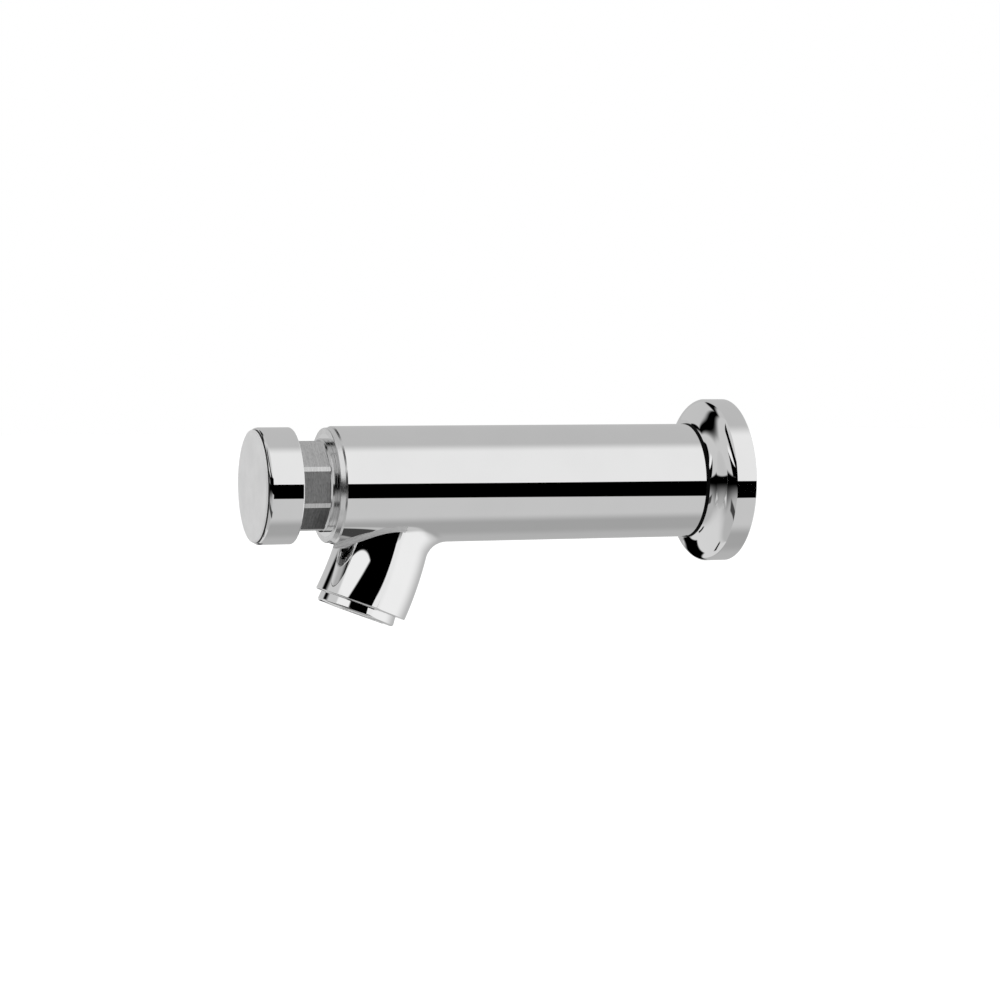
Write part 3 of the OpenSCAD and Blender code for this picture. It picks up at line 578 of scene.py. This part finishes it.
def make_bonnet(finishes):
    skin = Skin()
    turned, bright = 0, 1
    angles = neck_angles()
    collar_front = FACE + COLLAR_H
    thread_back = FACE - BONNET_BORE_LEN
    undercut_back = FACE - SEAL_POCKET_DEPTH - UNDERCUT_LEN

    eighth = math.pi / 4
    middle = (angles[:-1] + angles[1:]) / 2
    sector = np.round(middle / eighth)
    edge = math.acos(NECK_FLAT / NECK_R)
    on_flat = np.abs(middle - sector * eighth) < edge
    for i, flat in enumerate(on_flat):
        pair = angles[i:i + 2]
        facing = np.full(2, sector[i] * eighth) if flat else pair
        bend = np.linspace(0, math.pi / 2, NECK_EDGE_ROWS + 1)[:, None]
        inset = NECK_EDGE * (1 - np.cos(bend))
        rows = np.concatenate([np.stack([neck_section(pair, 0), neck_section(pair, 0)]),
                               neck_section(pair + 0 * bend, inset)[1:]])
        places = np.concatenate([[[collar_front], [NECK_FRONT - NECK_EDGE]],
                                 NECK_FRONT - NECK_EDGE * (1 - np.sin(bend[1:]))])
        out = np.concatenate([[[1], [1]], np.cos(bend[1:])])
        ahead = np.concatenate([[[0], [0]], np.sin(bend[1:])])
        skin.patch(TAP.place(rows, pair, places), TAP.aim(out, facing, ahead), turned if flat else bright)
        foot = np.stack([rows[0], np.full(2, NECK_R - COLLAR_BEVEL)])
        ahead = 1.0 if rows[0].sum() < foot[1].sum() else -1.0
        skin.patch(TAP.place(foot, pair, collar_front), TAP.aim(0.0, pair + 0 * foot, ahead), turned)
    front = np.stack([neck_section(angles, NECK_EDGE), np.full_like(angles, GUIDE_R + SMALL_EDGE)])
    skin.patch(TAP.place(front, angles, NECK_FRONT), TAP.aim(0.0, angles + 0 * front, 1.0), turned)

    rear, ahead = (NECK_FRONT - place for place in SEAL_PLACES)
    half = SEAL_GROOVE_W / 2
    skin.turned(TAP, outline(
        (GUIDE_R + SMALL_EDGE, NECK_FRONT), (GUIDE_R, NECK_FRONT - SMALL_EDGE),
        (GUIDE_R, ahead + half), (SEAL_GROOVE_R, ahead + half), (SEAL_GROOVE_R, ahead - half),
        (GUIDE_R, ahead - half), (GUIDE_R, rear + half), (SEAL_GROOVE_R, rear + half),
        (SEAL_GROOVE_R, rear - half), (GUIDE_R, rear - half), (GUIDE_R, FACE - TIMING_ROOF),
        (TIMING_R, FACE - TIMING_ROOF), (TIMING_R, BONNET_BACK), (TAIL_R, BONNET_BACK, SMALL_EDGE),
        (TAIL_R, thread_back), (BONNET_THREAD_R - BONNET_THREAD_CUT, thread_back),
        (BONNET_THREAD_R, thread_back + BONNET_THREAD_CUT)), angles, turned)
    thread(skin, TAP, BONNET_THREAD_R, BONNET_THREAD_CUT, thread_back + BONNET_THREAD_CUT, undercut_back,
           BONNET_PITCH, angles=angles, finish=turned)
    skin.turned(TAP, outline(
        (BONNET_THREAD_R, undercut_back), (UNDERCUT_R, undercut_back), (UNDERCUT_R, FACE),
        (NECK_R, FACE, FINE_EDGE), (NECK_R, collar_front - COLLAR_BEVEL, COLLAR_EDGE),
        (NECK_R - COLLAR_BEVEL, collar_front)), angles, bright)
    return skin.piece("neck_bonnet", finishes)


# Button and its face disc

SKIRT_R = 15.01 * MM
SKIRT_EDGE = 0.45 * MM
FLOOR_BACK = 148.0 * MM
SCREW_HEAD_R = 3.5 * MM
SCREW_R = 2.0 * MM
SCREW_SEAT = COVER_BACK - 1.6 * MM
CREASE = BUTTON_FRONT - 2.05 * MM
RIM_FRONT = BUTTON_FRONT - 0.95 * MM
RIM_TOP_R = 16.88 * MM
RIM_W = 0.22 * MM
RIM_CORNER = 0.08 * MM
BEVEL_START = math.radians(8)
BEVEL_END = math.radians(40)
BEVEL_PULL = 0.4 * MM
DISC_GAP = 0.06 * MM
DISC_ROUND = 0.5 * MM
JOINT_H = 0.4 * MM


def make_button(finishes):
    skin = Skin()
    recess = RIM_TOP_R - RIM_W
    first = (BUTTON_R - BEVEL_PULL * math.sin(BEVEL_START), CREASE + BEVEL_PULL * math.cos(BEVEL_START))
    last = (RIM_TOP_R + BEVEL_PULL * math.sin(BEVEL_END), RIM_FRONT - BEVEL_PULL * math.cos(BEVEL_END))
    skin.turned(TAP, outline(
        (SKIRT_R, SKIRT_BACK, SMALL_EDGE), (BUTTON_R, SKIRT_BACK, SKIRT_EDGE), (BUTTON_R, CREASE),
        (first, last, (RIM_TOP_R, RIM_FRONT)), (recess, RIM_FRONT, RIM_CORNER),
        (recess, COVER_BACK), (SCREW_HEAD_R, COVER_BACK), (SCREW_HEAD_R, SCREW_SEAT),
        (SCREW_R, SCREW_SEAT), (SCREW_R, FLOOR_BACK), (SKIRT_R, FLOOR_BACK, SKIRT_EDGE), closed=True))
    return skin.piece("button_cap", finishes)


def make_cover(finishes):
    skin = Skin()
    satin, painted_shade = 0, 1
    edge = RIM_TOP_R - RIM_W - DISC_GAP
    joint = RIM_FRONT + JOINT_H
    # Painted shade: the disc's side, down in the narrow gap inside the button's rim, is rubber black, for the
    # shade in that gap
    skin.turned(TAP, outline((0, COVER_BACK), (edge, COVER_BACK, FINE_EDGE), (edge, joint)), finish=painted_shade)
    skin.turned(TAP, outline(
        (edge, joint), (edge, BUTTON_FRONT, DISC_ROUND), (0, BUTTON_FRONT)), finish=satin)
    return skin.piece("button_face", finishes)


# Aerator ring and its woven screen

RING_R = 12.0 * MM
RING_TOP_R = 11.75 * MM
RING_END = SPOUT_LEN + 3.1 * MM
RING_ROUND = 0.8 * MM
RING_LIP = 0.75 * MM
RING_LIP_R = 8.85 * MM
SLEEVE_R = 10.9 * MM
SLEEVE_INNER_R = 9.6 * MM
SLEEVE_TOP = SPOUT_LEN - OUTLET_DEPTH + 1.5 * MM
SLEEVE_PITCH = 1.0 * MM
SLEEVE_CUT = 0.4 * MM
SLEEVE_PLAIN_TOP = 0.6 * MM
SLEEVE_PLAIN_END = 0.8 * MM
SCREEN_R = 9.5 * MM
SCREEN_T = 0.8 * MM
SCREEN_RIM = 0.9 * MM
SCREEN_PITCH = 1.0 * MM
SCREEN_WIRE_R = 0.16 * MM
SCREEN_SWING = 1.1 * SCREEN_WIRE_R
SCREEN_WIRE_SIDES = 8


def make_aerator_ring(finishes):
    skin = Skin()
    thread_top = SLEEVE_TOP + SLEEVE_PLAIN_TOP
    thread_end = SPOUT_LEN - SLEEVE_PLAIN_END
    skin.turned(OUTLET, outline(
        (SLEEVE_R, thread_end), (SLEEVE_R, SPOUT_LEN), (RING_TOP_R, SPOUT_LEN, FINE_EDGE),
        (RING_R, RING_END, RING_ROUND), (RING_LIP_R, RING_END, SMALL_EDGE),
        (RING_LIP_R, RING_END - RING_LIP), (SLEEVE_INNER_R, RING_END - RING_LIP),
        (SLEEVE_INNER_R, SLEEVE_TOP), (SLEEVE_R, SLEEVE_TOP, SMALL_EDGE), (SLEEVE_R, thread_top)))
    thread(skin, OUTLET, SLEEVE_R, SLEEVE_CUT, thread_top, thread_end, SLEEVE_PITCH)
    return skin.piece("outlet_ring", finishes)


def wire_along(skin, centres, out, radius, sides):
    """Adds a wire of round section along a line of points, with closed ends. Out is one way across it."""
    ways = unit(np.gradient(centres, axis=0))
    side = unit(np.cross(ways, out))
    out = np.cross(side, ways)
    round_it = np.linspace(0, 2 * math.pi, sides + 1)[None, :, None]
    facing = np.cos(round_it) * out[:, None] + np.sin(round_it) * side[:, None]
    skin.patch(centres[:, None] + radius * facing, facing)
    for end, sign in ((0, -1), (-1, 1)):
        rim = centres[end] + radius * facing[end]
        skin.patch(np.stack([rim, 0 * rim + centres[end]]), sign * ways[end])


def make_screen(finishes):
    skin = Skin()
    top = RING_END - RING_LIP - SCREEN_T
    skin.turned(OUTLET, outline(
        (SCREEN_R, top, FINE_EDGE), (SCREEN_R, top + SCREEN_T, FINE_EDGE),
        (SCREEN_R - SCREEN_RIM, top + SCREEN_T, FINE_EDGE), (SCREEN_R - SCREEN_RIM, top, FINE_EDGE),
        closed=True))
    reach = SCREEN_R - SCREEN_RIM / 2
    count = int(reach / SCREEN_PITCH)
    for k in range(-count, count + 1):
        half = math.sqrt(reach ** 2 - (k * SCREEN_PITCH) ** 2)
        run = np.linspace(-half, half, 4 * math.ceil(2 * half / SCREEN_PITCH) + 1)
        swing = SCREEN_SWING * np.cos(math.pi * run / SCREEN_PITCH) * (-1) ** k
        level = top + SCREEN_T / 2
        for one, other, side in ((OUTLET.zero, OUTLET.quarter, 1), (OUTLET.quarter, OUTLET.zero, -1)):
            centres = OUTLET.start + run[:, None] * one + k * SCREEN_PITCH * other \
                + (level + side * swing)[:, None] * OUTLET.along
            wire_along(skin, centres, OUTLET.along, SCREEN_WIRE_R, SCREEN_WIRE_SIDES)
    return skin.piece("outlet_screen", finishes)


# Return spring

SPRING_MEAN_R = 6.8 * MM
SPRING_WIRE_R = 0.8 * MM
SPRING_TURNS = 9
SPRING_CLOSED = 1.0
SPRING_STEPS = 40
SPRING_WIRE_SIDES = 12
SPRING_PLAY = 0.05 * MM
SPRING_CLOSED_PITCH = 2.08 * SPRING_WIRE_R


def make_spring(finishes):
    skin = Skin()
    turns = np.linspace(0, SPRING_TURNS, SPRING_TURNS * SPRING_STEPS + 1)
    rise = SPRING_FRONT - SPRING_BACK - 2 * SPRING_WIRE_R - 2 * SPRING_PLAY
    open_pitch = (rise - 2 * SPRING_CLOSED * SPRING_CLOSED_PITCH) / (SPRING_TURNS - 2 * SPRING_CLOSED)
    knots = [0, SPRING_CLOSED, SPRING_TURNS - SPRING_CLOSED, SPRING_TURNS]
    end_rise = SPRING_CLOSED * SPRING_CLOSED_PITCH
    heights = np.cumsum([0, end_rise, (SPRING_TURNS - 2 * SPRING_CLOSED) * open_pitch, end_rise])
    places = SPRING_BACK + SPRING_PLAY + SPRING_WIRE_R + np.interp(turns, knots, heights)
    angles = 2 * math.pi * turns
    centres = TAP.place(SPRING_MEAN_R, angles, places)
    wire_along(skin, centres, TAP.aim(1.0, angles, 0 * angles), SPRING_WIRE_R, SPRING_WIRE_SIDES)
    return skin.piece("button_spring", finishes)


# Shader sums

class Wire:
    """A socket in a node tree. A sum on wires adds its Math nodes."""

    def __init__(self, tree, socket=None):
        self.tree = tree
        self.socket = socket

    def node(self, kind, sockets=None, output=0, **settings):
        """Adds a node, its settings first and then values or wires for its sockets, and gives an output."""
        made = self.tree.nodes.new("ShaderNode" + kind)
        for name, value in settings.items():
            setattr(made, name, value)
        for key, value in (sockets or {}).items():
            if isinstance(value, Wire):
                self.tree.links.new(value.socket, made.inputs[key])
            else:
                made.inputs[key].default_value = value
        return Wire(self.tree, made.outputs[output] if made.outputs else None)

    def math(self, operation, *values):
        return self.node("Math", dict(enumerate(values)), operation=operation)

    def __add__(self, other):
        return self.math("ADD", self, other)

    def __radd__(self, other):
        return self.math("ADD", other, self)

    def __sub__(self, other):
        return self.math("SUBTRACT", self, other)

    def __rsub__(self, other):
        return self.math("SUBTRACT", other, self)

    def __mul__(self, other):
        return self.math("MULTIPLY", self, other)

    def __rmul__(self, other):
        return self.math("MULTIPLY", other, self)

    def step(self, low, high):
        """0 up to low, 1 from high on, and smooth between."""
        return self.node("MapRange", {"Value": self, "From Min": low, "From Max": high},
                         interpolation_type="SMOOTHSTEP")

    def band(self, low, low_end, high, high_end):
        """1 between two places, with a smooth way in and a smooth way out."""
        return self.step(low, low_end) * (1 - self.step(high, high_end))

    def most(self, other):
        return self.math("MAXIMUM", self, other)

    def least(self, other):
        return self.math("MINIMUM", self, other)

    def mix(self, first, second):
        """The first colour where this wire is 0, and the second where it is 1."""
        return self.node("Mix", {0: self, 6: first, 7: second}, output=2, data_type="RGBA")


def grey(value):
    return (value, value, value, 1.0)


class Finish:
    """A material in the making: its node tree, its places on the piece, and its shader."""

    def __init__(self, name, **shader):
        self.material = bpy.data.materials.new(name)
        self.material.use_nodes = True
        self.tree = self.material.node_tree
        self.shader = self.tree.nodes["Principled BSDF"]
        self.start = Wire(self.tree)
        self.places = self.start.node("TexCoord", output="Object")
        self.set(**shader)

    def set(self, **sockets):
        """Sets the shader's sockets; an underscore in a name stands for a space."""
        for name, value in sockets.items():
            socket = self.shader.inputs[name.replace("_", " ")]
            if isinstance(value, Wire):
                self.tree.links.new(value.socket, socket)
            else:
                socket.default_value = value
        return self

    def noise(self, per_mm, stretch=(1, 1, 1), detail=3.0, roughness=0.55):
        """Noise with that many waves a millimetre, along each axis of the piece."""
        scaled = self.start.node("Mapping", {"Vector": self.places,
                                             "Scale": tuple(per_mm * s / MM for s in stretch)})
        return self.start.node("TexNoise", {"Vector": scaled, "Scale": 1.0, "Detail": detail,
                                            "Roughness": roughness})

    def bump(self, height, depth, strength=1.0):
        self.set(Normal=self.start.node("Bump", {"Height": height, "Distance": depth, "Strength": strength}))
        return self


def polished_chrome():
    finish = Finish("polished_chrome", Metallic=1.0)
    haze = finish.noise(0.05).step(0.35, 0.75)
    wipe = finish.noise(0.9, stretch=(1, 0.2, 1), detail=4.0)
    finish.set(Base_Color=haze.mix(grey(0.905), grey(0.885)), Roughness=0.006 + 0.012 * haze + 0.008 * wipe)
    return finish.material


def soft_chrome():
    finish = Finish("soft_chrome", Metallic=1.0)
    rings = finish.noise(4.0, stretch=(0.05, 1, 0.05), detail=2.0)
    finish.set(Base_Color=rings.step(0.3, 0.7).mix(grey(0.80), grey(0.88)), Roughness=0.20 + 0.08 * rings)
    return finish.material


def turned_metal():
    finish = Finish("turned_metal", Metallic=1.0)
    lines = finish.noise(5.0, stretch=(0.03, 1, 0.03), detail=3.0, roughness=0.6)
    specks = finish.noise(3.0, stretch=(0.35, 1, 0.35), detail=2.0)
    marks = 0.6 * lines.step(0.3, 0.7) + 0.4 * specks.step(0.35, 0.65)
    # Painted shade: the flats that face down take a darker copy of the metal, for the shade under the neck
    normal = finish.start.node("TexCoord", output="Normal")
    facing = finish.start.node("SeparateXYZ", {0: normal}, output="Z")
    underside_painted_shade = (0 - facing).step(0.35, 0.65)
    finish.set(Base_Color=underside_painted_shade.mix(marks.mix(grey(0.48), grey(0.74)), marks.mix(grey(0.15), grey(0.29))),
               Roughness=0.24 + 0.12 * specks)
    finish.bump(lines, 0.01 * MM, 0.35)
    return finish.material


# Painted reflection: a dull grey, barely metallic, that stands in for the grey reflection on the fillet under
# the tube
def painted_reflection_grey():
    finish = Finish("painted_reflection_grey", Metallic=0.35)
    grain = finish.noise(1.6, detail=4.0)
    cloud = finish.noise(0.2)
    finish.set(Base_Color=cloud.step(0.3, 0.7).mix(grey(0.52), grey(0.58)), Roughness=0.42 + 0.14 * grain)
    finish.bump(grain, 0.01 * MM, 0.3)
    return finish.material


def fine_turned():
    finish = Finish("fine_turned", Metallic=1.0)
    lines = finish.noise(6.0, stretch=(0.03, 1, 0.03), detail=2.0)
    finish.set(Base_Color=lines.step(0.3, 0.7).mix(grey(0.58), grey(0.74)), Roughness=0.10 + 0.10 * lines)
    return finish.material


def satin_face():
    finish = Finish("satin_face", Metallic=0.4)
    grain = finish.noise(3.0, detail=3.0, roughness=0.65)
    cloud = finish.noise(0.12)
    finish.set(Base_Color=cloud.step(0.3, 0.7).mix(grey(0.80), grey(0.86)), Roughness=0.42 + 0.12 * grain)
    finish.bump(grain, 0.01 * MM, 0.4)
    return finish.material


def brass():
    finish = Finish("brass", Metallic=1.0)
    turning = finish.noise(2.0, stretch=(0.1, 1, 0.1))
    stain = finish.noise(0.15).step(0.4, 0.75)
    finish.set(Base_Color=stain.mix((0.78, 0.58, 0.27, 1), (0.62, 0.44, 0.19, 1)),
               Roughness=0.22 + 0.15 * turning)
    finish.bump(turning, 0.01 * MM, 0.4)
    return finish.material


def steel():
    finish = Finish("steel", Metallic=1.0)
    drawn = finish.noise(1.5)
    finish.set(Base_Color=drawn.step(0.3, 0.7).mix(grey(0.58), grey(0.68)), Roughness=0.2 + 0.15 * drawn)
    return finish.material


def rubber():
    finish = Finish("rubber", Specular_IOR_Level=0.35)
    bloom = finish.noise(0.4)
    skin = finish.noise(4.0)
    finish.set(Base_Color=bloom.step(0.35, 0.7).mix(grey(0.016), grey(0.032)), Roughness=0.55 + 0.15 * bloom)
    finish.bump(skin, 0.01 * MM, 0.4)
    return finish.material


# Painted shadow: near black with hardly any shine, for the shade in the gap between the flange and the tube
def lip_painted_shadow():
    finish = Finish("lip_painted_shadow", Specular_IOR_Level=0.05)
    bloom = finish.noise(0.4)
    finish.set(Base_Color=bloom.step(0.35, 0.7).mix(grey(0.0015), grey(0.004)), Roughness=0.6 + 0.15 * bloom)
    return finish.material


def white_plastic():
    finish = Finish("white_plastic")
    flow = finish.noise(0.1)
    skin = finish.noise(2.5)
    finish.set(Base_Color=flow.step(0.3, 0.7).mix((0.80, 0.80, 0.76, 1), (0.74, 0.74, 0.70, 1)),
               Roughness=0.38 + 0.1 * skin)
    finish.bump(skin, 0.008 * MM, 0.3)
    return finish.material


def grey_plastic():
    finish = Finish("grey_plastic")
    flow = finish.noise(0.12)
    skin = finish.noise(2.5)
    finish.set(Base_Color=flow.step(0.3, 0.7).mix((0.17, 0.18, 0.20, 1), (0.21, 0.22, 0.24, 1)),
               Roughness=0.42 + 0.1 * skin)
    finish.bump(skin, 0.008 * MM, 0.3)
    return finish.material


# Studio

FLOOR_LEVEL = -0.30
FLOOR_HALF = 12.0
DEGREES = 180 / math.pi
WHITE = grey(1.0)
PALE = grey(0.93)
BLACK = grey(0.0)


def make_studio():
    """A studio by direction, in degrees.

    Turn goes round the tap from the side that the camera is on and grows towards the wall, and rise
    is the height. Each part says between which directions it stands, with a soft edge.
    """
    world = bpy.data.worlds.new("studio")
    world.use_nodes = True
    bpy.context.scene.world = world
    tree = world.node_tree
    start = Wire(tree)
    way = start.node("TexCoord", output="Generated")
    split = start.node("SeparateXYZ", {0: way})
    x, y, z = (Wire(tree, s) for s in split.socket.node.outputs)
    up = start.math("ARCTAN2", z, x) * DEGREES
    low = start.math("ARCTAN2", 0 - z, x) * DEGREES
    turn = start.math("ARCTAN2", y, x) * DEGREES
    rise = start.math("ARCSINE", z) * DEGREES

    # Lamps above and ground below, which give the bands along the tube
    lamps = up.step(66, 88).mix(grey(0.87), grey(0.53))
    ground = low.step(62, 84).mix(grey(0.60), grey(0.39))
    ground = low.step(104, 130).mix(ground, grey(0.47))
    shown = rise.step(-9, -7).mix(ground, lamps)

    # The same in front of the tap, dark near the level of the eye
    front_lamps = rise.step(4, 7).mix(BLACK, grey(0.62))
    near_ground = (0 - rise).step(3, 28).mix(BLACK, grey(0.48))
    far_ground = (0 - rise).step(3, 13).mix(BLACK, grey(0.68))
    front_ground = turn.step(-124, -90).mix(far_ground, near_ground)
    shown = turn.step(-14, 2).mix(rise.step(-0.5, 0.5).mix(front_ground, front_lamps), shown)

    # Dark slanted shade, which shows under the tube in front of the spout
    slant = rise + 0.457 * turn + 54.3
    shade = slant.band(-9, -5, 5, 9) * turn.band(-70, -58, 0, 10)
    shown = shade.mix(shown, grey(0.06))

    # Far side of the room
    back = 1 - turn.step(-128, -114)
    shown = back.mix(shown, rise.step(-10, 4).mix(grey(0.70), grey(0.57)))

    # Window with a dark shelf below it, which give the light shape on the spout
    above_foot = (rise + 0.143 * turn).step(13.6, 14.1)
    ahead = 1 - turn.step(-20, -14)
    window = turn.step(-84, -76) * above_foot * (1 - rise.step(31, 35)) * ahead
    shown = window.mix(shown, PALE)
    tail = rise + 0.65 * (turn + 50).least(0.0)
    shelf = (1 - above_foot) * ahead * tail.step(3, 6) * turn.step(-90, -85)

    # Dark column, which gives the bar along the tube: its top edge in three slopes, its foot, which
    # is lower where the flange's rim shows it, and its side
    level = rise + 0.535 * turn - 13.15
    for slope, height in ((0.38, 9.85), (0.75, 16.3)):
        level = level.least(rise + slope * turn - height)
    under = rise + 0.46 * turn + 14.4
    under = under + y.step(0.4215, 0.4245) * (rise + 21.4 - under)
    side = turn + 1.77 * (rise - 17.5).most(0.0)
    column = (1 - level.step(-0.12, 0.12)) * under.step(-0.35, 0.35) * side.step(-27.5, -24.5) \
        * (1 - y.step(0.440, 0.446)) * x.step(0.02, 0.08)
    shown = column.most(shelf).mix(shown, BLACK)

    # Pale wall, which lights the right side of the spout
    wall = y.step(0.435, 0.60) * rise.step(-74, -34)
    shown = wall.mix(shown, x.step(-0.75, 0.25).mix(grey(0.50), PALE))

    # Dark shapes above and below, which show in the flange's hollow
    wedge = turn.band(-147, -139, -130, -115) * rise.step(15, 19)
    eaves = rise - 0.37 * (turn + 174)
    roof = (1 - turn.step(-134, -118)) * eaves.step(34, 39)
    overhead = wedge.most(roof) * (1 - rise.step(54, 66))
    shown = overhead.mix(shown, BLACK)
    behind = (1 - turn.step(-157.5, -154.5)).most(turn.step(165, 168))
    patch = behind * rise.band(-34, -30, -16, -13)
    sill = turn.band(-153, -147, -122, -112) * rise.band(-61, -58, -54, -50)
    shown = patch.most(sill).mix(shown, BLACK)

    # Soft light and the background are plain white
    paths = start.node("LightPath")
    rays = paths.socket.node.outputs
    seen = Wire(tree, rays["Is Camera Ray"])
    soft = Wire(tree, rays["Is Diffuse Ray"])
    plain = soft.mix(shown, WHITE)
    colour = seen.mix(plain, WHITE)
    background = tree.nodes["Background"]
    tree.links.new(colour.socket, background.inputs["Color"])


def make_floor():
    finish = Finish("pale_floor", Roughness=0.9, Specular_IOR_Level=0.1)
    cloud = finish.noise(0.004)
    paths = finish.start.node("LightPath")
    finish.set(Base_Color=cloud.mix(grey(0.80), grey(0.84)),
               Emission_Color=paths.mix(BLACK, grey(0.35)), Emission_Strength=1.0)
    mesh = bpy.data.meshes.new("floor")
    corners = [(a * FLOOR_HALF, b * FLOOR_HALF, FLOOR_LEVEL) for a, b in ((-1, -1), (1, -1), (1, 1), (-1, 1))]
    mesh.from_pydata(corners, [], [(0, 1, 2, 3)])
    mesh.materials.append(finish.material)
    floor = bpy.data.objects.new("floor", mesh)
    bpy.context.scene.collection.objects.link(floor)
    floor.visible_glossy = False


# Camera

CAMERA_AT = Vector((0.7398, -0.3452, 0.0347))
CAMERA_TARGET = Vector((-0.0104, -0.0703, -0.0058))
FOCAL_PIXELS = 2600.5
IMAGE_PIXELS = 1000
CAMERA_ROLL = math.radians(0.1)


def make_camera():
    data = bpy.data.cameras.new("camera")
    data.sensor_width = 36.0
    data.lens = FOCAL_PIXELS / IMAGE_PIXELS * data.sensor_width
    data.clip_start, data.clip_end = 0.01, 100
    camera = bpy.data.objects.new("camera", data)
    camera.location = CAMERA_AT
    facing = (CAMERA_TARGET - CAMERA_AT).to_track_quat("-Z", "Y")
    camera.rotation_euler = (facing @ Quaternion((0, 0, 1), CAMERA_ROLL)).to_euler()
    bpy.context.scene.collection.objects.link(camera)
    bpy.context.scene.camera = camera


# Everything together

FINISHES = {make.__name__: make() for make in (
    polished_chrome, painted_reflection_grey, soft_chrome, turned_metal, fine_turned, satin_face, brass, steel, rubber,
    lip_painted_shadow, white_plastic, grey_plastic)}

PIECES = [
    (make_body, "body", "valve_body", ["polished_chrome", "painted_reflection_grey", "soft_chrome"]),
    (make_flange, "wall_flange", "flange", ["polished_chrome", "lip_painted_shadow"]),
    (make_bonnet, "bonnet", "valve_body", ["turned_metal", "fine_turned"]),
    (make_button, "button", "plunger", ["polished_chrome"]),
    (make_cover, "button_cover", "plunger", ["satin_face", "rubber"]),
    (make_aerator_ring, "aerator_ring", "valve_body", ["polished_chrome"]),
    (make_screen, "aerator_screen", "valve_body", ["steel"]),
    (make_spring, "return_spring", "valve_body", ["steel"]),
]

for make, node, body, finishes in PIECES:
    piece = make([FINISHES[f] for f in finishes])
    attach(piece, body)
    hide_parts(node)
    if node == "return_spring":
        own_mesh(piece)

CARRIED = {
    "brass": ["valve_head", "valve_nut", "stem"],
    "steel": ["inlet_strainer", "spring_seat", "piston_circlip", "bleed_pin", "button_screw"],
    "rubber": ["flange_grip_ring", "inlet_washer", "regulator_ring", "cage_seal", "valve_washer",
               "piston_lip_seal", "bonnet_seal", "stem_seals", "aerator_washer"],
    "white_plastic": ["flow_regulator", "valve_cage", "aerator_insert"],
    "grey_plastic": ["timing_piston"],
}
for finish, nodes in CARRIED.items():
    for node in nodes:
        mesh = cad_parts[node].data
        mesh.materials.clear()
        mesh.materials.append(FINISHES[finish])

make_studio()
make_floor()
make_camera()
bpy.context.scene.view_settings.view_transform = "Standard"
